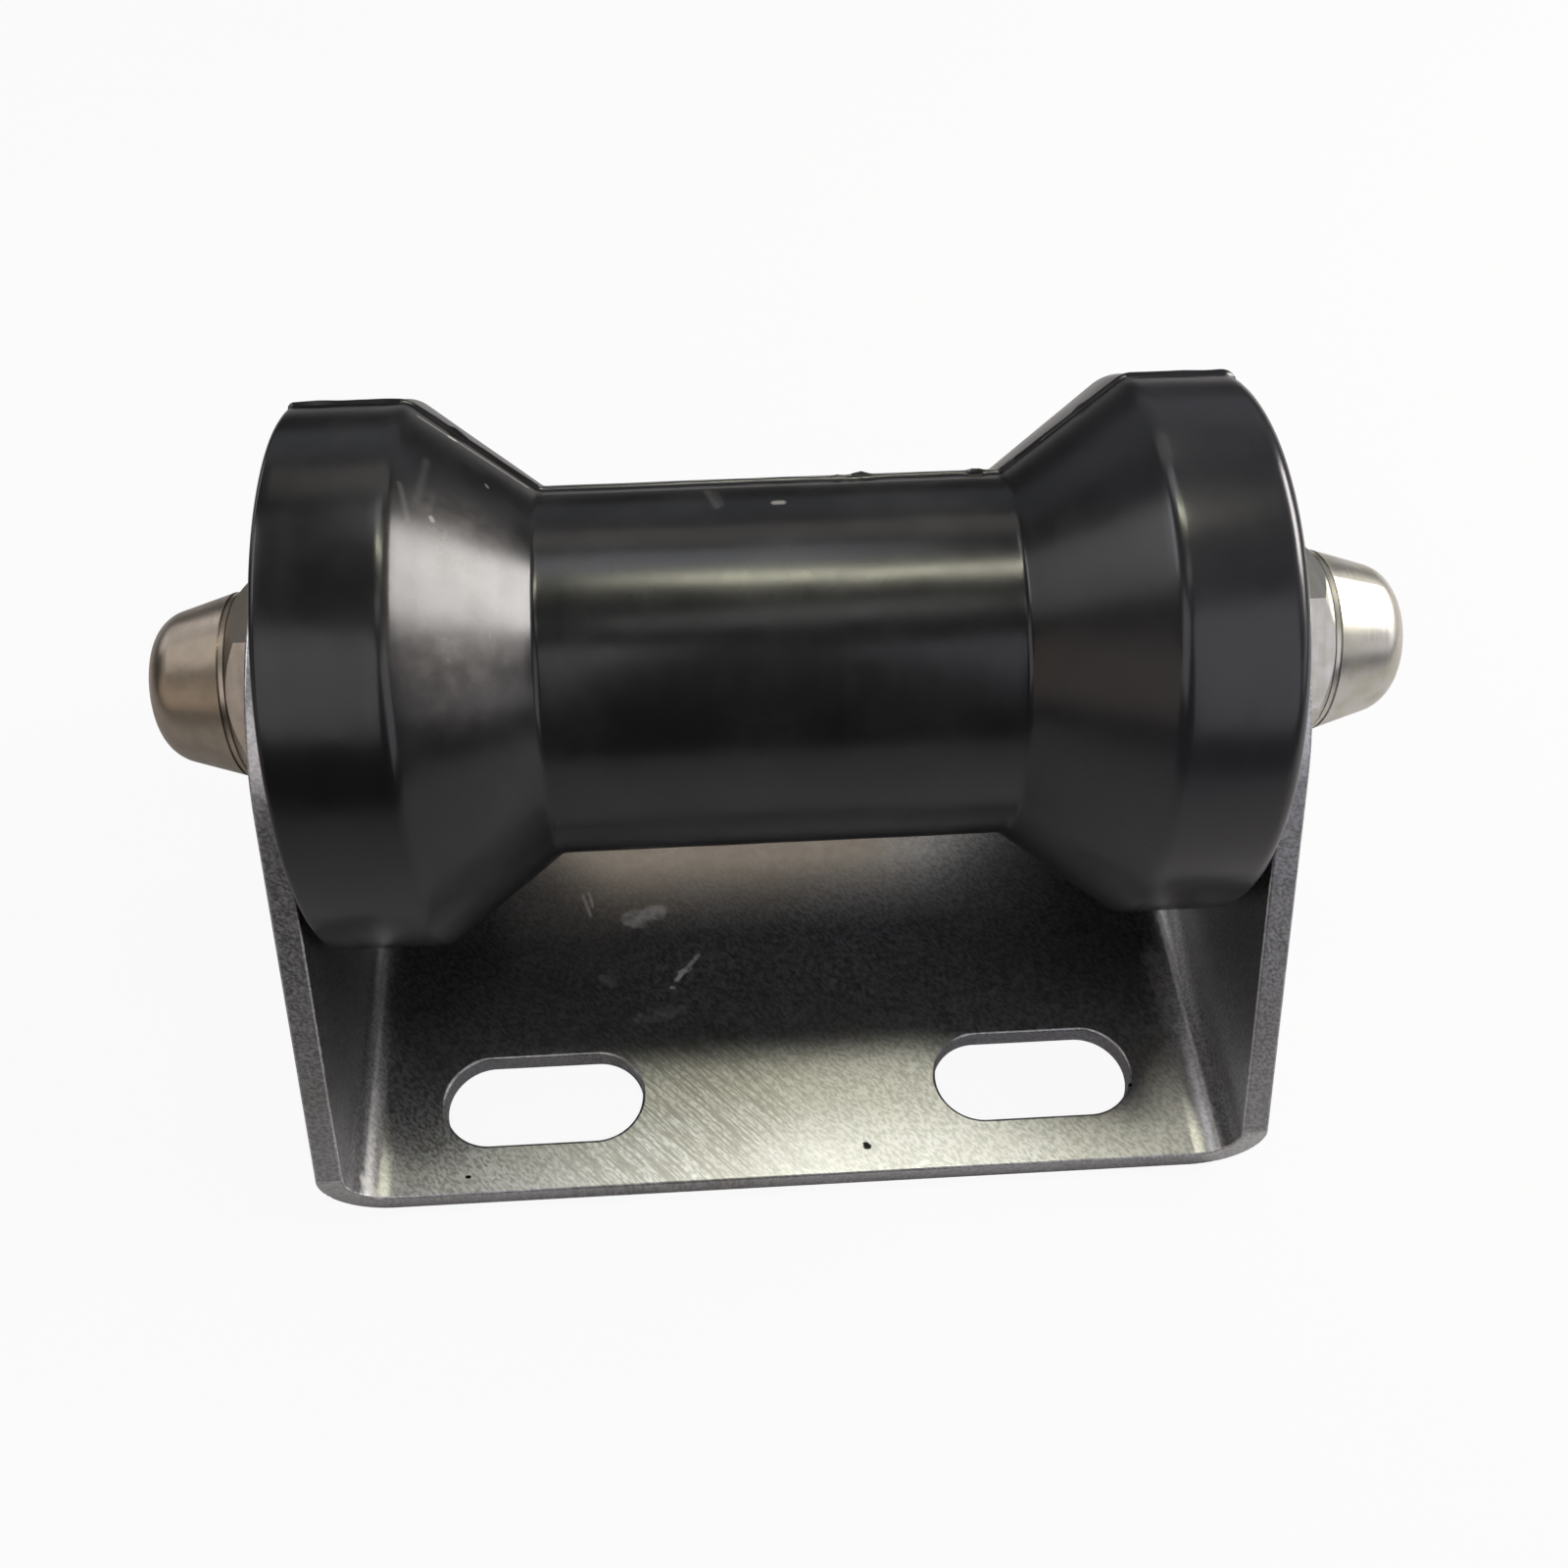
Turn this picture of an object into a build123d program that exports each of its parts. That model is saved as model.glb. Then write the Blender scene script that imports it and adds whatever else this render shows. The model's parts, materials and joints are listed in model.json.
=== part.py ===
"""Bow roller: a waisted rubber roller on an axle between the two ears of a folded steel bracket.

Units are millimetres. X runs along the axle, Y from the front edge of the base to the back, Z up.
The origin is on the underside of the base, straight below the middle of the axle.

Pieces, from the outside in: two cap nuts, the bracket, two thrust washers, the rubber roller on its
core tube, two bushes, the spacer tube and the axle stud. The nuts clamp the ears on the spacer tube,
and the roller, its core and its bushes turn on that tube.
"""

import os
from math import asin, atan2, cos, degrees, radians, sin, sqrt, tan

from build123d import *

# ---- driving dimensions -------------------------------------------------------------------------
# Rubber roller
roller_length = 116.0
rim_diameter = 70.0
waist_diameter = 47.6
waist_length = 57.5
rim_width = 14.4
waist_corner_radius = 1.5
cone_corner_radius = 3.0
rim_edge_radius = {"left": 0.8, "right": 2.2}

# Fits
bush_proud = 0.1
axial_play = 0.1
running_clearance = 0.05

# Axle group
thread_diameter = 16.0
stud_end_gap = 0.5
stud_chamfer = 1.5
spacer_diameter = 21.3
spacer_bore = 17.3
washer_diameter = 40.0
washer_thickness = 1.5
washer_clearance = 0.1
bush_diameter = 26.0
bush_length = 30.0
bush_lead_in = 0.8
core_diameter = 30.0
core_inset = 0.5

# Folded bracket
sheet = 3.5
bend_radius = 5.0
base_depth = 105.4
axle_height = 48.7
ear_top_radius = 30.0
ear_top_drop = 12.0
ear_foot_rise = 0.8
ear_foot_corner_radius = 2.0
ear_hole_diameter = 16.5
slot_width = 13.0
slot_length = 27.5
slot_spacing_x = 68.8
slot_spacing_y = 78.6
edge_break = 0.4

# Cap nut
nut_across_flats = 24.0
nut_hex_height = {"left": 4.8, "right": 6.8}
nut_chamfer_angle = 42.0
nut_flat_share = 0.98
nut_corner_turn = 50.0
collar_diameter = 23.8
collar_height = 0.5
groove_diameter = 23.0
groove_width = 0.3
dome_base_diameter = 23.8
dome_end_diameter = 17.4
dome_height = 10.3
dome_corner_radius = 5.0
nut_wall = 4.5

# ---- places that follow from them ---------------------------------------------------------------
rim_radius = rim_diameter / 2
waist_radius = waist_diameter / 2
roller_end = roller_length / 2
cone_start = waist_length / 2
cone_end = roller_end - rim_width
bush_end = roller_end + bush_proud
washer_inner_face = bush_end + axial_play
ear_inner_face = washer_inner_face + washer_thickness
ear_outer_face = ear_inner_face + sheet
spacer_radius = spacer_diameter / 2
core_bore_radius = bush_diameter / 2
ear_top_center = axle_height - ear_top_drop
ear_top = ear_top_center + ear_top_radius
bend_top = sheet + bend_radius
ear_foot = bend_top + ear_foot_rise
half_depth = base_depth / 2
cap_height = collar_height + groove_width + dome_height
nut_tips = {side: ear_outer_face + height + cap_height for side, height in nut_hex_height.items()}
stud_ends = {side: tip - nut_wall - stud_end_gap for side, tip in nut_tips.items()}
thread_radius = thread_diameter / 2
nut_flat_radius = nut_across_flats / 2
nut_corner_radius = nut_flat_radius / cos(radians(30))

# The axle's own plane: its local Z is the axle, its local X is the part's Y
axle_plane = Plane(origin=(0, 0, axle_height), x_dir=(0, 1, 0), z_dir=(1, 0, 0))
# The plane that holds revolved profiles: its local X is the axle, its local Y is the radius
profile_plane = Plane(origin=(0, 0, axle_height), x_dir=(1, 0, 0), z_dir=(0, -1, 0))
axle_line = Axis((0, 0, axle_height), (1, 0, 0))
sides = {"left": -1, "right": 1}

# How near to its stated place an edge or a corner has to be to be picked by it
near = 0.1

os.makedirs("parts", exist_ok=True)


def finish(piece, label):
    """Label a piece and write its STEP file."""
    piece.part.label = label
    export_step(piece.part, f"parts/{label}.step")


def corners_at(profile, *places, lowest_radius=0):
    """A revolved profile's corners at those places along the axle and further out than a radius."""
    corners = profile.vertices().filter_by(lambda v: v.Y > lowest_radius + near)
    return corners.filter_by(lambda v: min(abs(v.X - place) for place in places) < near)


# ---- bracket: one sheet, folded up at both ends, with four slots and two axle holes -------------
# Where the straight ear edge leaves the foot and touches the round ear top
foot_to_center_z = ear_top_center - ear_foot
foot_to_center = sqrt(half_depth**2 + foot_to_center_z**2)
ear_slant = atan2(half_depth, foot_to_center_z) - asin(ear_top_radius / foot_to_center)
tangent_y = ear_top_radius * cos(ear_slant)
tangent_z = ear_top_center + ear_top_radius * sin(ear_slant)

with BuildPart() as bracket:
    # The folded channel, as wide as the base is deep
    with BuildSketch(Plane.XZ) as channel:
        with BuildLine():
            outside = FilletPolyline(
                (-ear_outer_face, ear_top),
                (-ear_outer_face, 0),
                (ear_outer_face, 0),
                (ear_outer_face, ear_top),
                radius=bend_top,
            )
            inside = FilletPolyline(
                (-ear_inner_face, ear_top),
                (-ear_inner_face, sheet),
                (ear_inner_face, sheet),
                (ear_inner_face, ear_top),
                radius=bend_radius,
            )
            Line(outside @ 0, inside @ 0)
            Line(outside @ 1, inside @ 1)
        make_face()
    extrude(amount=half_depth, both=True)

    # The ears' outline, seen along the axle: a straight foot, slanting edges and a round top
    with BuildSketch(Plane.YZ) as ear_outline:
        with BuildLine():
            Polyline(
                (tangent_y, tangent_z),
                (half_depth, ear_foot),
                (half_depth, 0),
                (-half_depth, 0),
                (-half_depth, ear_foot),
                (-tangent_y, tangent_z),
            )
            ThreePointArc(
                (-tangent_y, tangent_z),
                (0, ear_top),
                (tangent_y, tangent_z),
            )
        make_face()
        foot_corners = ear_outline.vertices().filter_by(lambda v: abs(v.Y - ear_foot) < near)
        fillet(foot_corners, ear_foot_corner_radius)
    extrude(amount=ear_outer_face, both=True, mode=Mode.INTERSECT)

    # Mounting slots, long way along the axle
    with BuildSketch() as slots:
        with GridLocations(slot_spacing_x, slot_spacing_y, 2, 2):
            SlotOverall(slot_length, slot_width)
    extrude(amount=sheet, mode=Mode.SUBTRACT)

    # Axle holes
    with BuildSketch(axle_plane) as axle_holes:
        Circle(ear_hole_diameter / 2)
    extrude(amount=ear_outer_face, both=True, mode=Mode.SUBTRACT)

    # Every cut edge of the sheet is broken: the front and back ends, the ears' outlines and holes
    # and the slots
    end_faces = bracket.faces().filter_by(lambda f: abs(f.center().Y) > half_depth - near)
    end_edges = end_faces.edges().filter_by(lambda e: e.length > sheet + near)
    ear_faces = bracket.faces().filter_by(lambda f: abs(f.center().X) > ear_inner_face - near)
    ear_edges = ear_faces.filter_by(Axis.X).edges().filter_by(lambda e: e.center().Z > bend_top + near)
    base_faces = bracket.faces().filter_by(Axis.Z).filter_by(lambda f: f.center().Z < sheet + near)
    slot_rims = base_faces.edges().filter_by(
        lambda e: abs(e.center().Y) < half_depth - near and e.length < slot_length
    )
    fillet(end_edges + ear_edges + slot_rims, edge_break)
finish(bracket, "bracket")

# ---- rubber roller: two wide rims, two cones and a straight waist -------------------------------
with BuildPart() as roller_tread:
    with BuildSketch(profile_plane) as tread_profile:
        with BuildLine():
            Polyline(
                (-roller_end, core_diameter / 2),
                (-roller_end, rim_radius),
                (-cone_end, rim_radius),
                (-cone_start, waist_radius),
                (cone_start, waist_radius),
                (cone_end, rim_radius),
                (roller_end, rim_radius),
                (roller_end, core_diameter / 2),
                close=True,
            )
        make_face()
        fillet(corners_at(tread_profile, -cone_start, cone_start), waist_corner_radius)
        fillet(corners_at(tread_profile, -cone_end, cone_end), cone_corner_radius)
        for side, direction in sides.items():
            rim_edge = corners_at(tread_profile, direction * roller_end, lowest_radius=waist_radius)
            fillet(rim_edge, rim_edge_radius[side])
    revolve(axis=axle_line)
finish(roller_tread, "roller_tread")

# ---- core tube bonded into the rubber ----------------------------------------------------------
with BuildPart() as roller_core:
    with BuildSketch(axle_plane):
        Circle(core_diameter / 2)
        Circle(core_bore_radius, mode=Mode.SUBTRACT)
    extrude(amount=roller_end - core_inset, both=True)
finish(roller_core, "roller_core")

# ---- spacer tube that the ears are clamped on ---------------------------------------------------
with BuildPart() as spacer_tube:
    with BuildSketch(axle_plane):
        Circle(spacer_radius)
        Circle(spacer_bore / 2, mode=Mode.SUBTRACT)
    extrude(amount=ear_inner_face, both=True)
finish(spacer_tube, "spacer_tube")

# ---- axle stud ----------------------------------------------------------------------------------
with BuildPart() as axle_stud:
    with BuildSketch(axle_plane.offset(-stud_ends["left"])):
        Circle(thread_radius)
    extrude(amount=stud_ends["left"] + stud_ends["right"])
    chamfer(axle_stud.edges(), stud_chamfer)
finish(axle_stud, "axle_stud")

# ---- the pieces that come once for each end -----------------------------------------------------
for side, direction in sides.items():
    # Plain bush pressed into the core, its outer end a little proud of the rubber
    bush_plane = axle_plane.offset(direction * bush_end)
    with BuildPart() as bush:
        with BuildSketch(bush_plane):
            Circle(bush_diameter / 2)
            Circle(spacer_radius + running_clearance, mode=Mode.SUBTRACT)
        extrude(amount=-direction * bush_length)
        inner_end = bush.faces().sort_by(Axis.X)[0 if direction > 0 else -1]
        chamfer(inner_end.outer_wire().edges(), bush_lead_in)
    finish(bush, f"bush_{side}")

    # Thrust washer between the bush and the ear
    washer_plane = axle_plane.offset(direction * washer_inner_face)
    with BuildPart() as washer:
        with BuildSketch(washer_plane):
            Circle(washer_diameter / 2)
            Circle(spacer_radius + washer_clearance, mode=Mode.SUBTRACT)
        extrude(amount=direction * washer_thickness)
    finish(washer, f"thrust_washer_{side}")

    # Cap nut: a chamfered hexagon, a thin collar and a tapered dome, with a blind threaded hole
    nut_tip = nut_tips[side]
    collar_start = nut_tip - cap_height
    groove_start = collar_start + collar_height
    dome_start = groove_start + groove_width
    with BuildPart() as cap_nut:
        with BuildSketch(axle_plane.offset(direction * ear_outer_face)):
            RegularPolygon(nut_flat_radius, 6, major_radius=False, rotation=nut_corner_turn)
        extrude(amount=direction * nut_hex_height[side])

        # Turned envelope that takes the hexagon's corners off at its outer end
        chamfer_radius = nut_flat_radius * nut_flat_share
        chamfer_depth = (nut_corner_radius - chamfer_radius) * tan(radians(nut_chamfer_angle))
        with BuildSketch(profile_plane):
            with BuildLine():
                Polyline(
                    (direction * ear_outer_face, 0),
                    (direction * ear_outer_face, nut_corner_radius),
                    (direction * (collar_start - chamfer_depth), nut_corner_radius),
                    (direction * collar_start, chamfer_radius),
                    (direction * collar_start, 0),
                    close=True,
                )
            make_face()
        revolve(axis=axle_line, mode=Mode.INTERSECT)

        # Collar, groove and dome
        with BuildSketch(profile_plane) as dome_profile:
            with BuildLine():
                Polyline(
                    (direction * collar_start, 0),
                    (direction * collar_start, collar_diameter / 2),
                    (direction * groove_start, collar_diameter / 2),
                    (direction * groove_start, groove_diameter / 2),
                    (direction * dome_start, groove_diameter / 2),
                    (direction * dome_start, dome_base_diameter / 2),
                    (direction * nut_tip, dome_end_diameter / 2),
                    (direction * nut_tip, 0),
                    close=True,
                )
            make_face()
            fillet(corners_at(dome_profile, direction * nut_tip), dome_corner_radius)
        revolve(axis=axle_line)

        # Blind threaded hole
        with BuildSketch(axle_plane.offset(direction * ear_outer_face)):
            Circle(thread_radius)
        extrude(amount=direction * (nut_tip - nut_wall - ear_outer_face), mode=Mode.SUBTRACT)
    finish(cap_nut, f"cap_nut_{side}")

print(f"overall {sum(nut_tips.values()):.1f} x {base_depth:.1f} x {axle_height + rim_radius:.1f}")
print(f"ear edge slants {degrees(ear_slant):.1f} degrees from vertical")
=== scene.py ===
"""Looks of the bow roller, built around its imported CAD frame.

Everything is in metres, in the part's own frame: X along the axle, Y from the front of the base to
the back, Z up. MM turns the sizes written here, which are millimetres, into metres.
"""

import json
import math

import bmesh
import bpy
from mathutils import Matrix, Vector, noise


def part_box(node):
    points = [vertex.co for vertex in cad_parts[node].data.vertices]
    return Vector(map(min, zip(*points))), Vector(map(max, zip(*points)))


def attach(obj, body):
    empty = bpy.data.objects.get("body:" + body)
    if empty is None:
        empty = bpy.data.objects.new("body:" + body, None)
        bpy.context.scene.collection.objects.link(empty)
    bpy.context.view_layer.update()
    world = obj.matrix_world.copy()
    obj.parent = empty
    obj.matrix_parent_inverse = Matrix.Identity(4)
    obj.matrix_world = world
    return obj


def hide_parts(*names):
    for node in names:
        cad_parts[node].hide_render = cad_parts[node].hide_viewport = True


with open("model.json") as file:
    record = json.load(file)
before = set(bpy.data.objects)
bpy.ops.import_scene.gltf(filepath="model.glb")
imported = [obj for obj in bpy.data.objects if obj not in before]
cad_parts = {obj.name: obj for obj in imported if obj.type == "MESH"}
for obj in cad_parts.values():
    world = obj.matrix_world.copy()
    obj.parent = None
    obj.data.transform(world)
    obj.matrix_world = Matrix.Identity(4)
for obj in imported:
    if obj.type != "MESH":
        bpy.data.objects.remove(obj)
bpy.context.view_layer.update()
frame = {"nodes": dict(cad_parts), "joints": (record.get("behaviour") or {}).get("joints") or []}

MM = 0.001

# ---- sizes taken from the frame ----------------------------------------------------------------
AXLE = Vector(frame["joints"][0]["pos_m"])
tread_low, tread_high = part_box("roller_tread")
core_low, core_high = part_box("roller_core")
ROLLER_END = tread_high.x
RIM_RADIUS = (tread_high.z - tread_low.z) / 2
BORE_RADIUS = (core_high.z - core_low.z) / 2

# ---- the rubber's own shape, as in the CAD roller ----------------------------------------------
WAIST_RADIUS = 23.8 * MM
CONE_START = 28.75 * MM
CONE_END = 43.6 * MM
WAIST_CORNER = 1.5 * MM
CONE_CORNER = 3.0 * MM
LEFT_RIM_EDGE = 0.8 * MM
RIGHT_RIM_EDGE = 2.2 * MM

# ---- camera: its place, its turns in radians, lens and sensor in mm, shift in frame widths ------
CAMERA_PLACE = Vector((-9.32, -130.44, 196.43)) * MM
CAMERA_YAW, CAMERA_PITCH, CAMERA_ROLL = 0.0608, 0.9459, -0.0037
CAMERA_LENS_MM = 34.27
CAMERA_SENSOR_MM = 36.0
CAMERA_SHIFT = (0.0128, 0.0175)
CAMERA_CLIP_START = 0.01


def make_camera():
    """A close viewpoint in front of the roller and above it, looking down at the base."""
    ahead = Vector((math.sin(CAMERA_YAW), math.cos(CAMERA_YAW), 0.0))
    forward = math.cos(CAMERA_PITCH) * ahead - math.sin(CAMERA_PITCH) * Vector((0.0, 0.0, 1.0))
    level = Vector((math.cos(CAMERA_YAW), -math.sin(CAMERA_YAW), 0.0))
    upright = level.cross(forward)
    right = math.cos(CAMERA_ROLL) * level - math.sin(CAMERA_ROLL) * upright
    up = math.sin(CAMERA_ROLL) * level + math.cos(CAMERA_ROLL) * upright
    data = bpy.data.cameras.new("camera")
    data.lens = CAMERA_LENS_MM
    data.sensor_width = CAMERA_SENSOR_MM
    data.shift_x, data.shift_y = CAMERA_SHIFT
    data.clip_start = CAMERA_CLIP_START
    camera = bpy.data.objects.new("camera", data)
    bpy.context.scene.collection.objects.link(camera)
    turn = Matrix((right, up, -forward)).transposed().to_4x4()
    camera.matrix_world = Matrix.Translation(CAMERA_PLACE) @ turn
    bpy.context.scene.camera = camera


# ---- lights and floor --------------------------------------------------------------------------
# Soft boxes: degrees from +X toward +Y, degrees above level, width and height in metres, brightness
# and colour. Each stands LIGHT_DISTANCE metres from the middle of the axle.
LIGHT_DISTANCE = 0.6
LIGHTS = {
    "window": (16, 33, 0.34, 0.17, 17.0, (1.0, 0.96, 0.93)),
    "window_sill": (6, 22, 0.30, 0.08, 7.0, (1.0, 0.96, 0.95)),
    "window_low": (346, 12, 0.30, 0.12, 1.4, (0.98, 0.95, 1.0)),
    "ceiling_lamp": (76, 79, 0.14, 0.055, 20.0, (1.0, 0.99, 0.76)),
    "ceiling_lamp_right": (34, 73, 0.08, 0.07, 15.5, (1.0, 0.98, 0.80)),
    "ceiling_wash": (96, 67, 0.24, 0.15, 2.0, (0.90, 0.92, 1.0)),
    "ceiling_front": (290, 76, 0.20, 0.10, 1.5, (0.96, 1.0, 0.94)),
    "left_wall": (168, 54, 0.30, 0.14, 3.4, (0.95, 0.95, 1.0)),
    "left_panel": (170, 39, 0.34, 0.18, 1.1, (1.0, 0.95, 0.93)),
    "left_back": (144, 19, 0.28, 0.16, 1.6, (0.97, 0.96, 1.0)),
    "left_low": (206, 17, 0.42, 0.26, 0.60, (1.0, 0.86, 0.74)),
    "left_front": (240, 44, 0.30, 0.40, 1.25, (1.0, 0.96, 0.98)),
    "right_front": (304, 34, 0.30, 0.50, 1.1, (0.93, 0.92, 1.0)),
    "back_wall": (90, 48, 0.44, 0.16, 0.85, (1.0, 0.95, 0.88)),
    "back_low": (90, 25, 0.80, 0.24, 0.25, (0.85, 0.90, 1.0)),
}

# How bright the backdrop and the floor are to look at, and how much light the backdrop gives.
BACKDROP_SEEN = 0.93
BACKDROP_LIGHT = 0.02

# The floor's half width in metres, and how far it lies below the base.
FLOOR_HALF_SIZE = 3.0
FLOOR_DROP = 0.2 * MM


def area_light(name, azimuth, elevation, width, height, strength, colour):
    """A rectangular soft light facing the roller; strength is its brightness seen from there."""
    data = bpy.data.lights.new(name, "AREA")
    data.shape = "RECTANGLE"
    data.size, data.size_y = width, height
    data.energy = strength * math.pi * width * height
    data.color = colour
    light = bpy.data.objects.new(name, data)
    level = math.cos(math.radians(elevation))
    toward = Vector((
        level * math.cos(math.radians(azimuth)),
        level * math.sin(math.radians(azimuth)),
        math.sin(math.radians(elevation)),
    ))
    light.location = AXLE + LIGHT_DISTANCE * toward
    light.rotation_euler = toward.to_track_quat("Z", "Y").to_euler()
    bpy.context.scene.collection.objects.link(light)


def make_lights():
    for name, settings in LIGHTS.items():
        area_light(name, *settings)


def make_world():
    """A pale backdrop to look at that adds very little light of its own."""
    world = bpy.data.worlds.new("studio")
    bpy.context.scene.world = world
    world.use_nodes = True
    tree = world.node_tree
    background = tree.nodes["Background"]
    background.inputs["Color"].default_value = (1.0, 0.99, 0.98, 1)
    strength = tree.nodes.new("ShaderNodeMapRange")
    strength.inputs["To Min"].default_value = BACKDROP_LIGHT
    strength.inputs["To Max"].default_value = BACKDROP_SEEN
    seen = tree.nodes.new("ShaderNodeLightPath").outputs["Is Camera Ray"]
    tree.links.new(seen, strength.inputs["Value"])
    tree.links.new(strength.outputs["Result"], background.inputs["Strength"])
    bpy.context.scene.view_settings.view_transform = "Standard"


def make_floor():
    """A plain pale floor: near white to look at, dimmer in the metal's reflections."""
    mesh = bpy.data.meshes.new("floor")
    grid = bmesh.new()
    bmesh.ops.create_grid(grid, x_segments=1, y_segments=1, size=FLOOR_HALF_SIZE)
    grid.to_mesh(mesh)
    grid.free()
    floor = bpy.data.objects.new("floor", mesh)
    floor.location.z = -FLOOR_DROP
    bpy.context.scene.collection.objects.link(floor)
    paint = Recipe("floor_paint", colour=(0.50, 0.49, 0.50), roughness=0.9)
    glow = paint.node("ShaderNodeEmission")
    glow.inputs["Color"].default_value = (1.0, 1.0, 1.0, 1.0)
    glow.inputs["Strength"].default_value = 1.0
    seen = paint.node("ShaderNodeLightPath").outputs["Is Camera Ray"]
    blend = paint.node("ShaderNodeMixShader")
    paint.link(paint.math("MULTIPLY", seen, BACKDROP_SEEN), blend.inputs[0])
    paint.link(paint.shader.outputs[0], blend.inputs[1])
    paint.link(glow.outputs[0], blend.inputs[2])
    paint.link(blend.outputs[0], paint.tree.nodes["Material Output"].inputs["Surface"])
    mesh.materials.append(paint.material)


# ---- material recipes --------------------------------------------------------------------------
# Marks on the rubber, and two painted highlight lines: start, end, half width and softness in mm,
# and strength.
RUBBER_MARKS_AND_HIGHLIGHTS = [
    ((0.1, 5.1, 72.0), (1.0, 5.1, 71.9), 0.20, 0.45, 0.35),
    ((-8.0, 8.8, 70.8), (-6.9, 4.6, 72.1), 0.10, 0.60, 0.05),
    ((-7.0, 8.4, 70.9), (-6.3, 5.0, 72.0), 0.08, 0.50, 0.03),
    ((-42.3, -1.2, 82.7), (-41.3, -5.7, 81.4), 0.05, 0.50, 0.06),
    ((-40.1, 4.8, 80.7), (-40.6, -2.5, 81.3), 0.05, 0.70, 0.03),
    ((-38.4, 1.5, 80.6), (-39.3, -3.0, 80.3), 0.05, 0.60, 0.03),
    ((-39.1, -4.0, 80.0), (-38.9, -4.3, 79.9), 0.15, 0.25, 0.35),
    ((-34.1, 5.7, 75.8), (-33.9, 5.4, 75.8), 0.10, 0.25, 0.15),
    # The next two are painted highlight lines along the top of the left cone and of the waist, by
    # the parting ridge.
    ((-42.0, 14.3, 79.3), (-30.0, 10.4, 71.1), 0.10, 0.35, 0.22),
    ((-28.0, 10.0, 70.3), (28.0, 10.0, 70.3), 0.06, 0.35, 0.10),
    ((-38.7, 13.1, 76.9), (-38.2, 13.0, 76.6), 0.20, 0.30, 0.60),
]

# The middle, along the axle, of the pale patch on the left cone, in mm: partly wear, partly a
# painted highlight where the window's reflection falls.
WEAR_AND_HIGHLIGHT_MIDDLE = -36.5

# Height of the base's top face in mm, which is the sheet's thickness.
BASE_TOP = 3.5

# Scratches and rubbed lines on the bracket, and painted highlights along the two bends, written
# like the marks on the rubber.
STEEL_MARKS_AND_HIGHLIGHTS = [
    ((-29.4, -6.0, BASE_TOP), (-28.2, -9.6, BASE_TOP), 0.12, 0.30, 0.60),
    ((-28.5, -5.4, BASE_TOP), (-27.9, -7.9, BASE_TOP), 0.08, 0.30, 0.40),
    ((-22.3, -10.4, BASE_TOP), (-18.0, -9.3, BASE_TOP), 0.70, 1.00, 0.50),
    ((-21.6, -11.4, BASE_TOP), (-20.3, -11.3, BASE_TOP), 0.30, 0.80, 0.40),
    ((-12.2, -17.4, BASE_TOP), (-15.5, -21.4, BASE_TOP), 0.16, 0.30, 0.55),
    ((-13.6, -19.6, BASE_TOP), (-14.9, -20.2, BASE_TOP), 0.22, 0.40, 0.45),
    ((-16.2, -22.6, BASE_TOP), (-15.9, -22.7, BASE_TOP), 0.15, 0.20, 0.45),
    ((-26.4, -20.4, BASE_TOP), (-24.8, -21.2, BASE_TOP), 0.25, 0.90, 0.10),
    ((-21.0, -27.4, BASE_TOP), (-15.0, -26.4, BASE_TOP), 0.15, 1.40, 0.10),
    # The last four are painted highlights: two along the right bend, one along the left bend and
    # one at its front corner.
    ((55.0, -21.5, 3.6), (56.9, -52.6, 4.0), 0.40, 2.20, 0.12),
    ((57.5, -15.2, 4.4), (57.9, -52.2, 4.6), 0.10, 0.35, 0.34),
    ((-58.1, -15.0, 4.9), (-57.8, -50.3, 4.7), 0.12, 0.40, 0.26),
    ((-58.2, -50.2, 5.0), (-56.0, -52.4, 3.7), 0.25, 0.45, 0.55),
]

# Dark specks on the base: X, Y and half size in mm. Each runs on along X for SPECK_LENGTH.
STEEL_SPECKS = [(9.9, -48.9, 0.28), (9.7, -48.5, 0.18), (47.6, -41.8, 0.20), (-44.5, -50.2, 0.16)]
SPECK_LENGTH = 0.3

# The grinding belt's direction on the base, in degrees from +Y toward -X.
BELT_DEGREES = 44


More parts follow.
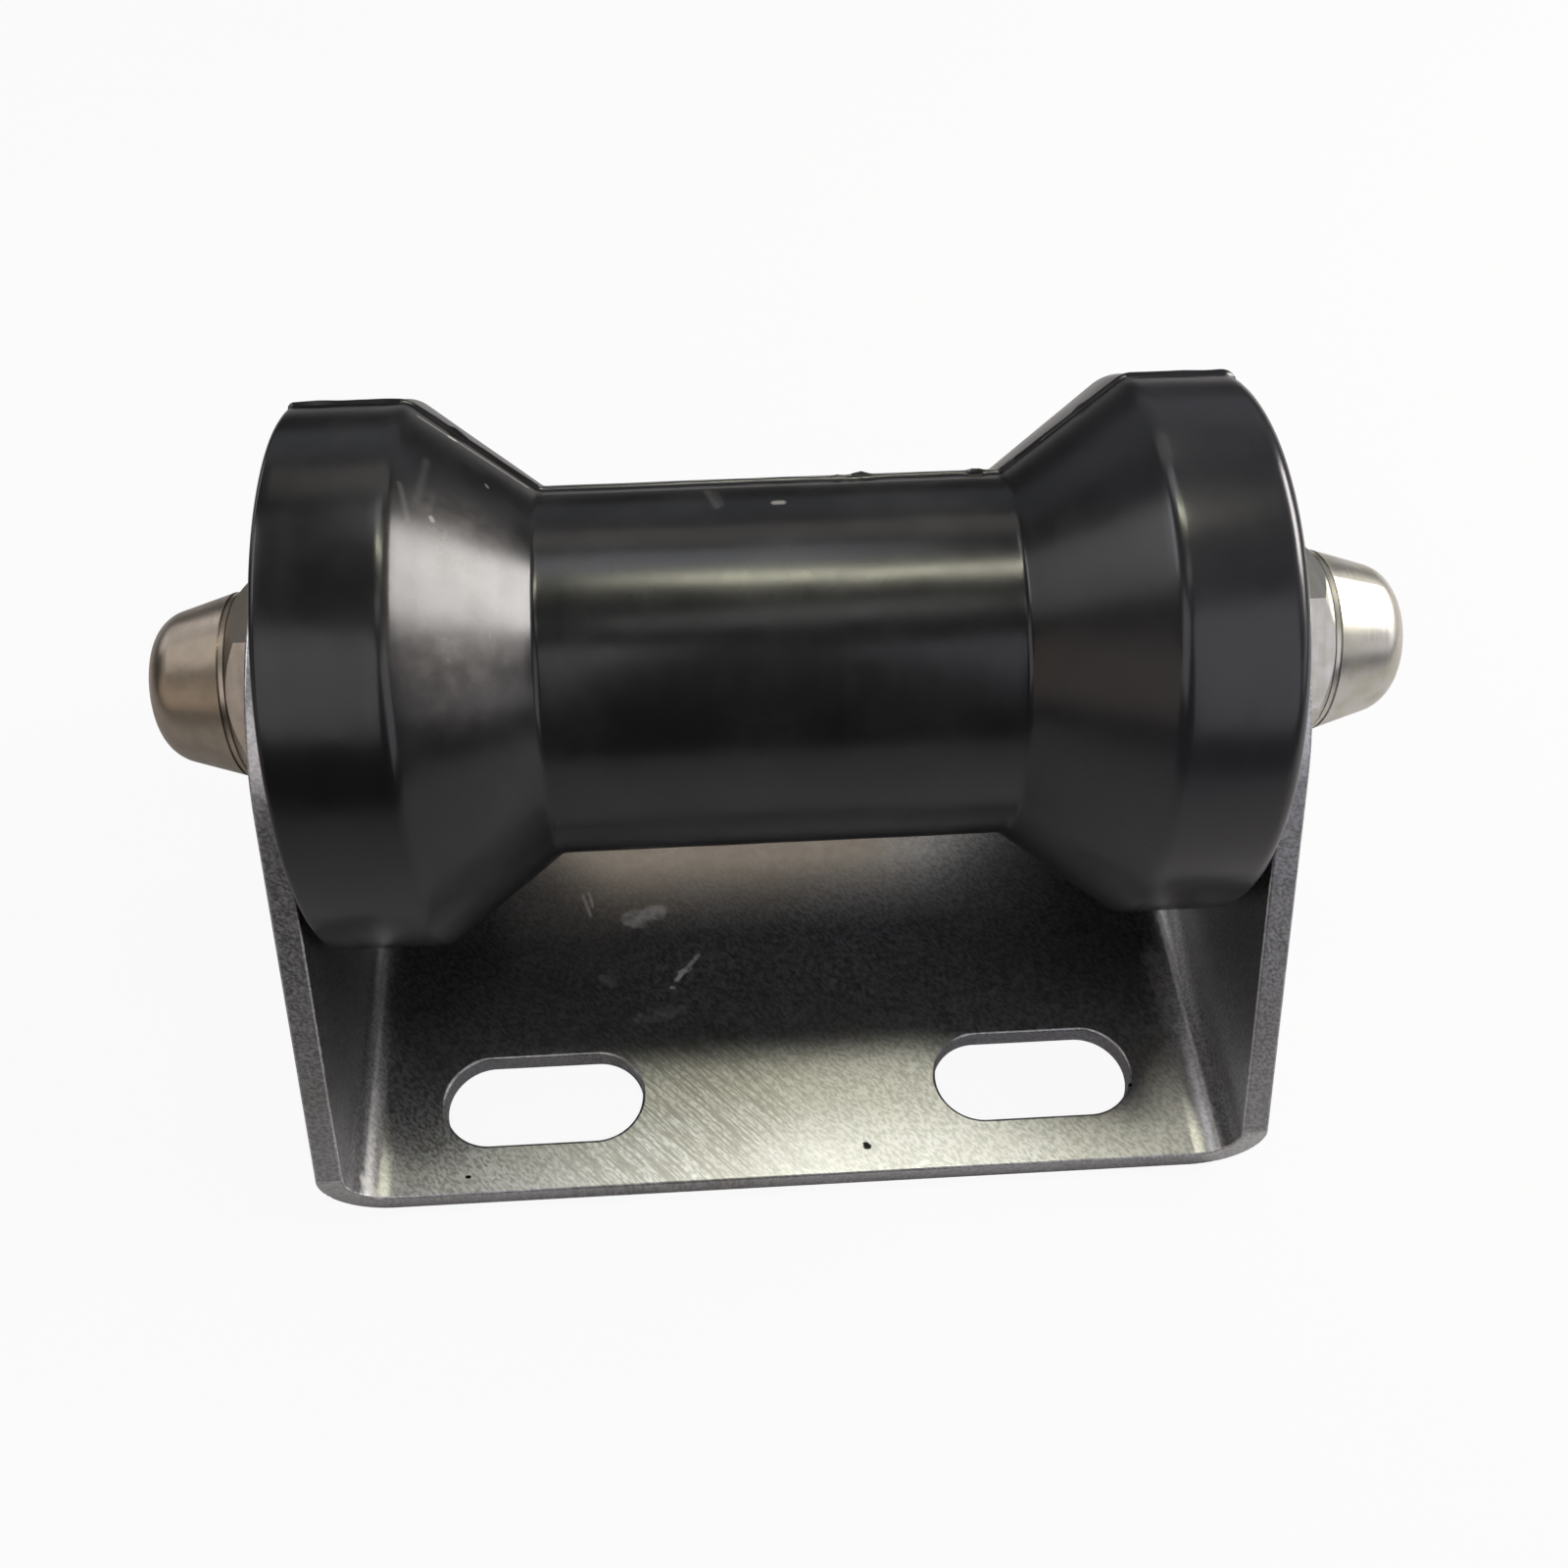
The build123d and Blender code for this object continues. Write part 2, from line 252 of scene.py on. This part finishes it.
class Recipe:
    """One material and the short calls that build its nodes, with lengths in metres."""

    def __init__(self, name, colour, roughness, metallic=0.0):
        self.material = bpy.data.materials.new(name)
        self.material.use_nodes = True
        self.tree = self.material.node_tree
        self.shader = self.tree.nodes["Principled BSDF"]
        self.shader.inputs["Base Color"].default_value = (*colour, 1)
        self.shader.inputs["Roughness"].default_value = roughness
        self.shader.inputs["Metallic"].default_value = metallic
        self.point = self.node("ShaderNodeTexCoord").outputs["Object"]

    def node(self, kind, **settings):
        made = self.tree.nodes.new(kind)
        for setting, value in settings.items():
            setattr(made, setting, value)
        return made

    def link(self, source, target):
        self.tree.links.new(source, target)

    def put(self, value, socket):
        """Link a node's output to a socket, or set the socket to a plain number."""
        if isinstance(value, bpy.types.NodeSocket):
            self.link(value, socket)
        else:
            socket.default_value = value

    def math(self, operation, first, second=0.0, clamp=False):
        made = self.node("ShaderNodeMath", operation=operation, use_clamp=clamp)
        self.put(first, made.inputs[0])
        self.put(second, made.inputs[1])
        return made.outputs[0]

    def vector(self, operation, first, second, output=0):
        made = self.node("ShaderNodeVectorMath", operation=operation)
        self.put(first, made.inputs[0])
        self.put(second, made.inputs[1])
        return made.outputs[output]

    def ramp(self, value, low, high, at_low=0.0, at_high=1.0):
        """A smooth step from one value to another as a number goes from low to high."""
        made = self.node("ShaderNodeMapRange", interpolation_type="SMOOTHSTEP")
        self.put(value, made.inputs["Value"])
        made.inputs["From Min"].default_value = low
        made.inputs["From Max"].default_value = high
        made.inputs["To Min"].default_value = at_low
        made.inputs["To Max"].default_value = at_high
        return made.outputs["Result"]

    def noise(self, size, stretch=(1, 1, 1), detail=2.0, point=None, shift=0.0):
        """Soft noise whose blotches are about one size across, longer where stretch is over 1."""
        squeeze = tuple(1.0 / (size * part) for part in stretch)
        where = self.vector("MULTIPLY", point or self.point, squeeze)
        if shift:
            where = self.vector("ADD", where, (shift, shift, shift))
        made = self.node("ShaderNodeTexNoise")
        self.put(where, made.inputs["Vector"])
        made.inputs["Scale"].default_value = 1.0
        made.inputs["Detail"].default_value = detail
        return made.outputs[0]

    def turned(self, degrees):
        """The point, turned about the vertical through the origin."""
        made = self.node("ShaderNodeVectorRotate", rotation_type="AXIS_ANGLE")
        self.put(self.point, made.inputs["Vector"])
        made.inputs["Axis"].default_value = (0, 0, 1)
        made.inputs["Angle"].default_value = math.radians(degrees)
        return made.outputs[0]

    def polar(self):
        """The point as x along the axle, turn about it in metres at the waist, and radius."""
        offset = self.vector("SUBTRACT", self.point, tuple(AXLE))
        parts = self.node("ShaderNodeSeparateXYZ")
        self.link(offset, parts.inputs[0])
        turn = self.math("ARCTAN2", parts.outputs["Z"], parts.outputs["Y"])
        across = self.vector("MULTIPLY", offset, (0.0, 1.0, 1.0))
        radius = self.vector("LENGTH", across, (0.0, 0.0, 0.0), output=1)
        joined = self.node("ShaderNodeCombineXYZ")
        self.link(parts.outputs["X"], joined.inputs["X"])
        self.link(self.math("MULTIPLY", turn, WAIST_RADIUS), joined.inputs["Y"])
        self.link(radius, joined.inputs["Z"])
        return joined.outputs[0]

    def near_line(self, start, end, half_width, soft):
        """1 within half_width of a line between two points, falling to 0 over soft.

        Marks are written in millimetres, so this call alone takes its lengths in them.
        """
        start = Vector(start) * MM
        along = Vector(end) * MM - start
        offset = self.vector("SUBTRACT", self.point, tuple(start))
        reach = self.vector("DOT_PRODUCT", offset, tuple(along / along.length_squared), output=1)
        reach = self.math("MULTIPLY", reach, 1.0, clamp=True)
        foot = self.node("ShaderNodeVectorMath", operation="SCALE")
        foot.inputs[0].default_value = along
        self.link(reach, foot.inputs["Scale"])
        distance = self.vector("DISTANCE", offset, foot.outputs[0], output=1)
        return self.ramp(distance, half_width * MM, (half_width + soft) * MM, 1.0, 0.0)

    def blend(self, amount, first, second):
        made = self.node("ShaderNodeMix", data_type="RGBA")
        self.put(amount, made.inputs["Factor"])
        for value, socket in ((first, made.inputs[6]), (second, made.inputs[7])):
            self.put(value if isinstance(value, bpy.types.NodeSocket) else (*value, 1), socket)
        return made.outputs[2]

    def total(self, *values):
        result = values[0]
        for value in values[1:]:
            result = self.math("ADD", result, value)
        return result

    def bump(self, height, depth):
        """Surface relief: height runs from 0 to 1 over a depth in metres."""
        made = self.node("ShaderNodeBump")
        made.inputs["Strength"].default_value = 1.0
        made.inputs["Distance"].default_value = depth
        self.put(height, made.inputs["Height"])
        self.link(made.outputs[0], self.shader.inputs["Normal"])

    def colour(self, value):
        self.put(value, self.shader.inputs["Base Color"])

    def roughness(self, value):
        self.put(value, self.shader.inputs["Roughness"])


def rubber():
    """Moulded black rubber: satin, faintly banded round the roller, pale on the left cone from wear
    and a painted highlight, with painted highlight lines along the top of the left cone and the
    waist.
    """
    made = Recipe("roller_rubber", colour=(0.012, 0.012, 0.013), roughness=0.25)
    polar = made.polar()
    along = made.vector("DOT_PRODUCT", polar, (1.0, 0.0, 0.0), output=1)
    bands = made.noise(2.2 * MM, stretch=(1, 22, 22), detail=2, point=polar)
    mottle = made.noise(4.5 * MM, detail=3)
    dust = made.ramp(made.noise(12 * MM, detail=3, shift=7.0), 0.40, 0.75)
    colour = made.blend(dust, (0.009, 0.009, 0.010), (0.018, 0.018, 0.019))
    right_end = made.ramp(along, 24 * MM, 44 * MM)
    colour = made.blend(made.math("MULTIPLY", right_end, 0.6), colour, (0.026, 0.026, 0.031))
    # The pale patch on the left cone: partly wear, partly a painted highlight.
    wear_and_highlight = made.near_line((WEAR_AND_HIGHLIGHT_MIDDLE, -8.5, 77.0), (WEAR_AND_HIGHLIGHT_MIDDLE, -16.0, 73.3), 1.0, 12.0)
    off_middle = made.math("ABSOLUTE", made.math("SUBTRACT", along, WEAR_AND_HIGHLIGHT_MIDDLE * MM))
    on_cone = made.ramp(off_middle, 6.2 * MM, 7.8 * MM, 1.0, 0.0)
    patchy = made.ramp(made.noise(2.6 * MM, detail=4, shift=2.0), 0.30, 0.70, 0.55, 1.0)
    wear_and_highlight = made.math("MULTIPLY", made.math("MULTIPLY", wear_and_highlight, on_cone), patchy)
    colour = made.blend(wear_and_highlight, colour, (0.115, 0.108, 0.104))
    # Pale marks: nicks and scuffs, and the painted highlight lines.
    for *line, strength in RUBBER_MARKS_AND_HIGHLIGHTS:
        mark_and_highlight = made.math("MULTIPLY", made.near_line(*line), strength)
        colour = made.blend(mark_and_highlight, colour, (0.62, 0.60, 0.56))
    made.colour(colour)
    satin = made.ramp(mottle, 0.3, 0.7, 0.205, 0.235)
    banding = made.ramp(bands, 0.3, 0.7, -0.01, 0.015)
    made.roughness(made.total(satin, banding, made.math("MULTIPLY", wear_and_highlight, 0.06)))
    made.bump(mottle, 0.012 * MM)
    return made.material


def bracket_steel():
    """Folded stainless sheet: ground with a coarse belt, grainy, scratched under the roller, with
    painted highlights along the bends.
    """
    made = Recipe("bracket_steel", colour=(0.50, 0.49, 0.46), roughness=0.36, metallic=1.0)
    across_belt = made.turned(-BELT_DEGREES)
    grain = made.noise(0.36 * MM, stretch=(1, 2.2, 1), detail=2, point=across_belt)
    blotch = made.noise(1.5 * MM, detail=3, shift=3.0)
    lines = made.noise(0.34 * MM, stretch=(1, 18, 8), detail=2, point=across_belt)
    ground = made.near_line((-20.0, -44.0, BASE_TOP), (-12.0, -43.0, BASE_TOP), 4.0, 18.0)
    stain = made.ramp(made.noise(16 * MM, detail=3, shift=11.0), 0.35, 0.75)
    colour = made.blend(stain, (0.60, 0.605, 0.63), (0.54, 0.53, 0.52))
    colour = made.blend(made.ramp(grain, 0.32, 0.66, 0.76, 0.0), colour, (0.30, 0.30, 0.30))
    colour = made.blend(made.ramp(blotch, 0.35, 0.75, 0.0, 0.16), colour, (0.34, 0.33, 0.31))
    brown = made.near_line((-26.0, 0.0, BASE_TOP), (8.0, 6.0, BASE_TOP), 4.0, 16.0)
    colour = made.blend(made.math("MULTIPLY", brown, 0.55), colour, (0.56, 0.47, 0.36))
    furrow = made.math("MULTIPLY", made.ramp(lines, 0.44, 0.60, 0.0, 0.85), ground)
    colour = made.blend(furrow, colour, (0.28, 0.275, 0.25))
    rubbed_and_highlight = 0.0
    # Scratches, and painted highlights along the bends, as pale non-metal.
    for *line, strength in STEEL_MARKS_AND_HIGHLIGHTS:
        mark_and_highlight = made.math("MULTIPLY", made.near_line(*line), strength)
        rubbed_and_highlight = made.math("MAXIMUM", rubbed_and_highlight, mark_and_highlight)
    broken = made.ramp(made.noise(1.6 * MM, detail=2, shift=5.0), 0.34, 0.62, 0.45, 1.0)
    rubbed_and_highlight = made.math("MULTIPLY", rubbed_and_highlight, broken)
    colour = made.blend(rubbed_and_highlight, colour, (0.95, 0.93, 0.89))
    for x, y, size in STEEL_SPECKS:
        speck = made.near_line((x, y, BASE_TOP), (x + SPECK_LENGTH, y, BASE_TOP), size, size)
        colour = made.blend(speck, colour, (0.01, 0.01, 0.01))
    made.colour(colour)
    polish = made.ramp(grain, 0.3, 0.7, 0.30, 0.37)
    patches = made.ramp(blotch, 0.3, 0.7, -0.01, 0.03)
    made.roughness(made.total(polish, patches, made.math("MULTIPLY", rubbed_and_highlight, 0.35)))
    made.put(made.math("SUBTRACT", 1.0, rubbed_and_highlight), made.shader.inputs["Metallic"])
    dents = made.math("MULTIPLY", blotch, 0.8)
    grooves = made.math("MULTIPLY", furrow, -0.4)
    made.bump(made.total(dents, grooves), 0.012 * MM)
    return made.material


def nut_steel():
    """Polished stainless cap nuts with fine rings from the lathe; the left nut is painted darker
    and brown, as painted shade and a painted warm reflection.
    """
    made = Recipe("nut_steel", colour=(0.62, 0.60, 0.56), roughness=0.22, metallic=1.0)
    polar = made.polar()
    rings = made.noise(0.22 * MM, stretch=(1, 200, 40), detail=2, point=polar)
    smudge = made.noise(3 * MM, detail=3)
    bright = made.blend(made.ramp(smudge, 0.35, 0.7), (0.64, 0.62, 0.58), (0.55, 0.54, 0.46))
    # The left nut's darker brown is painted shade and a painted warm reflection on the same
    # stainless.
    left_painted_shade = made.blend(made.ramp(smudge, 0.35, 0.7), (0.40, 0.34, 0.28), (0.34, 0.30, 0.24))
    along = made.vector("DOT_PRODUCT", polar, (1.0, 0.0, 0.0), output=1)
    to_right = made.ramp(along, -1 * MM, 1 * MM)
    made.colour(made.blend(to_right, left_painted_shade, bright))
    patches = made.ramp(smudge, 0.3, 0.7, 0.28, 0.33)
    made.roughness(made.total(patches, made.ramp(rings, 0.3, 0.7, 0.0, 0.06)))
    relief = made.total(made.math("MULTIPLY", rings, 0.5), made.math("MULTIPLY", smudge, 0.8))
    made.bump(relief, 0.006 * MM)
    return made.material


def tube_steel(name, colour):
    """Plain drawn or turned steel with faint lines round it, for the axle group."""
    made = Recipe(name, colour=colour, roughness=0.32, metallic=1.0)
    rings = made.noise(0.3 * MM, stretch=(1, 120, 60), detail=2, point=made.polar())
    left_painted_shade = made.noise(5 * MM, detail=3)
    darker = tuple(part * 0.72 for part in colour)
    made.colour(made.blend(made.ramp(left_painted_shade, 0.35, 0.7), colour, darker))
    patches = made.ramp(left_painted_shade, 0.3, 0.7, 0.29, 0.39)
    made.roughness(made.total(patches, made.ramp(rings, 0.3, 0.7, 0.0, 0.06)))
    made.bump(rings, 0.008 * MM)
    return made.material


def nylon():
    """Milky machined nylon for the bushes and thrust washers."""
    made = Recipe("bush_nylon", colour=(0.72, 0.70, 0.64), roughness=0.45)
    made.shader.inputs["Subsurface Weight"].default_value = 0.15
    made.shader.inputs["Subsurface Scale"].default_value = 1.5 * MM
    rings = made.noise(0.25 * MM, stretch=(1, 120, 60), detail=2, point=made.polar())
    cloud = made.noise(4 * MM, detail=3)
    made.colour(made.blend(made.ramp(cloud, 0.35, 0.7), (0.74, 0.72, 0.66), (0.64, 0.61, 0.53)))
    made.roughness(made.ramp(rings, 0.3, 0.7, 0.40, 0.52))
    made.bump(rings, 0.012 * MM)
    return made.material


# ---- the rubber roller -------------------------------------------------------------------------
PROFILE_STEP = 1.0 * MM
COLUMNS = 240
SHARP_ANGLE = math.radians(50)

# The two parting ridges left by the mould: where they run, and the mesh columns that carry them.
SEAM_TURNS = (math.radians(60), math.radians(240))
SEAM_OFFSETS = [math.radians(0.3 * step) for step in range(-6, 7)]
SEAM_CLEARANCE = math.radians(0.4)
SEAM_HALF_WIDTH = 0.42 * MM
SEAM_WAIST_HEIGHT = 0.36 * MM
SEAM_RIM_HEIGHT = 0.50 * MM
SEAM_RAGGEDNESS = 0.25
SEAM_RAGGED_LENGTH = 3.5 * MM

# Lumps on the first ridge: place along the roller, half length and extra height in mm.
SEAM_LUMPS = [
    (11.3, 1.4, 0.45),
    (8.2, 0.5, 0.20),
    (25.7, 1.2, 0.25),
    (-38.0, 0.8, 0.30),
    (38.5, 0.7, 0.25),
]

# The rubber's slight unevenness, and how far out from the bore it begins.
SWELL_SIZE = 9 * MM
SWELL_DEPTH = 0.05 * MM
PLAIN_HUB = 6 * MM


def rounded_corner(before, corner, after, radius, steps=8):
    """The points of the arc that rounds one corner of a profile."""
    toward = (before - corner).normalized()
    away = (after - corner).normalized()
    half_angle = toward.angle(away) / 2
    center = corner + (toward + away).normalized() * radius / math.sin(half_angle)
    reach = radius / math.tan(half_angle)
    first = (corner + toward * reach - center).normalized()
    last = (corner + away * reach - center).normalized()
    return [center + radius * first.slerp(last, step / steps) for step in range(steps + 1)]


def tread_profile():
    """The roller's closed section as (x, radius) points, from the bore's left end outward."""
    corners = [
        (-ROLLER_END, BORE_RADIUS, 0),
        (-ROLLER_END, RIM_RADIUS, LEFT_RIM_EDGE),
        (-CONE_END, RIM_RADIUS, CONE_CORNER),
        (-CONE_START, WAIST_RADIUS, WAIST_CORNER),
        (CONE_START, WAIST_RADIUS, WAIST_CORNER),
        (CONE_END, RIM_RADIUS, CONE_CORNER),
        (ROLLER_END, RIM_RADIUS, RIGHT_RIM_EDGE),
        (ROLLER_END, BORE_RADIUS, 0),
    ]
    count = len(corners)
    outline = []
    for index, (x, radius, rounding) in enumerate(corners):
        corner = Vector((x, radius))
        if rounding:
            before = Vector(corners[index - 1][:2])
            after = Vector(corners[(index + 1) % count][:2])
            outline += rounded_corner(before, corner, after, rounding)
        else:
            outline.append(corner)
    points = []
    for index, point in enumerate(outline):
        following = outline[(index + 1) % len(outline)]
        pieces = max(1, math.ceil((following - point).length / PROFILE_STEP))
        points += [point.lerp(following, step / pieces) for step in range(pieces)]
    return points


def fade(value, near_end, far_end):
    """1 below near_end, 0 above far_end, and smooth between them."""
    share = min(1.0, max(0.0, (value - near_end) / (far_end - near_end)))
    return 1.0 - share * share * (3.0 - 2.0 * share)


def seam_height(x, seam):
    """How far the mould's parting line stands up at a place along the roller."""
    ragged = noise.noise(Vector((x / SEAM_RAGGED_LENGTH, 5.0 * seam, 0.0)))
    height = SEAM_WAIST_HEIGHT if abs(x) < CONE_START else SEAM_RIM_HEIGHT
    height *= 1.0 + SEAM_RAGGEDNESS * ragged
    if seam == 0:
        for middle, half_length, extra in SEAM_LUMPS:
            away = abs(x - middle * MM)
            height += extra * MM * fade(away, 0.4 * half_length * MM, half_length * MM)
    return height


def tread_relief(x, radius, turn):
    """How far the rubber stands proud of its plain lathe shape."""
    relief = 0.0
    for seam, seam_turn in enumerate(SEAM_TURNS):
        around = (turn - seam_turn + math.pi) % (2 * math.pi) - math.pi
        across = abs(around) * radius
        if across < SEAM_HALF_WIDTH:
            relief += seam_height(x, seam) * fade(across, 0.35 * SEAM_HALF_WIDTH, SEAM_HALF_WIDTH)
    around_point = Vector((x, radius * math.cos(turn), radius * math.sin(turn)))
    relief += SWELL_DEPTH * noise.noise(around_point / SWELL_SIZE) - SWELL_DEPTH
    return relief


def tread_turns():
    """The mesh columns' angles about the axle, packed close at the parting ridges."""
    turns = {round(2 * math.pi * column / COLUMNS, 6) for column in range(COLUMNS)}
    kept_clear = SEAM_OFFSETS[-1] + SEAM_CLEARANCE
    for seam_turn in SEAM_TURNS:
        turns = {turn for turn in turns if abs(turn - seam_turn) > kept_clear}
        turns |= {round(seam_turn + offset, 6) for offset in SEAM_OFFSETS}
    return sorted(turns)


def make_tread():
    """The rubber as one closed turned mesh."""
    profile = tread_profile()
    shape = bmesh.new()
    columns = []
    for turn in tread_turns():
        column = []
        for x, radius in profile:
            if radius > BORE_RADIUS + PLAIN_HUB:
                radius += tread_relief(x, radius, turn)
            place = Vector((x, radius * math.cos(turn), radius * math.sin(turn)))
            column.append(shape.verts.new(AXLE + place))
        columns.append(column)
    for column, following in zip(columns, columns[1:] + columns[:1]):
        for row in range(len(profile)):
            above = (row + 1) % len(profile)
            shape.faces.new((column[row], column[above], following[above], following[row]))
    bmesh.ops.recalc_face_normals(shape, faces=shape.faces)
    for face in shape.faces:
        face.smooth = True
    mesh = bpy.data.meshes.new("tread_rubber")
    shape.to_mesh(mesh)
    shape.free()
    mesh.set_sharp_from_angle(angle=SHARP_ANGLE)
    tread = bpy.data.objects.new("tread_rubber", mesh)
    bpy.context.scene.collection.objects.link(tread)
    mesh.materials.append(rubber())
    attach(tread, "roller")
    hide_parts("roller_tread")


# ---- finishes of the CAD pieces that stay ------------------------------------------------------
def dress(material, *names):
    """Give one material to each of the named CAD nodes."""
    for name in names:
        node = frame["nodes"][name]
        node.data.materials.clear()
        node.data.materials.append(material)


make_camera()
make_lights()
make_world()
make_floor()
make_tread()
dress(bracket_steel(), "bracket")
dress(nut_steel(), "cap_nut_left", "cap_nut_right")
dress(tube_steel("axle_steel", (0.52, 0.51, 0.49)), "axle_stud", "spacer_tube")
dress(tube_steel("core_tube_steel", (0.30, 0.29, 0.28)), "roller_core")
dress(nylon(), "bush_left", "bush_right", "thrust_washer_left", "thrust_washer_right")
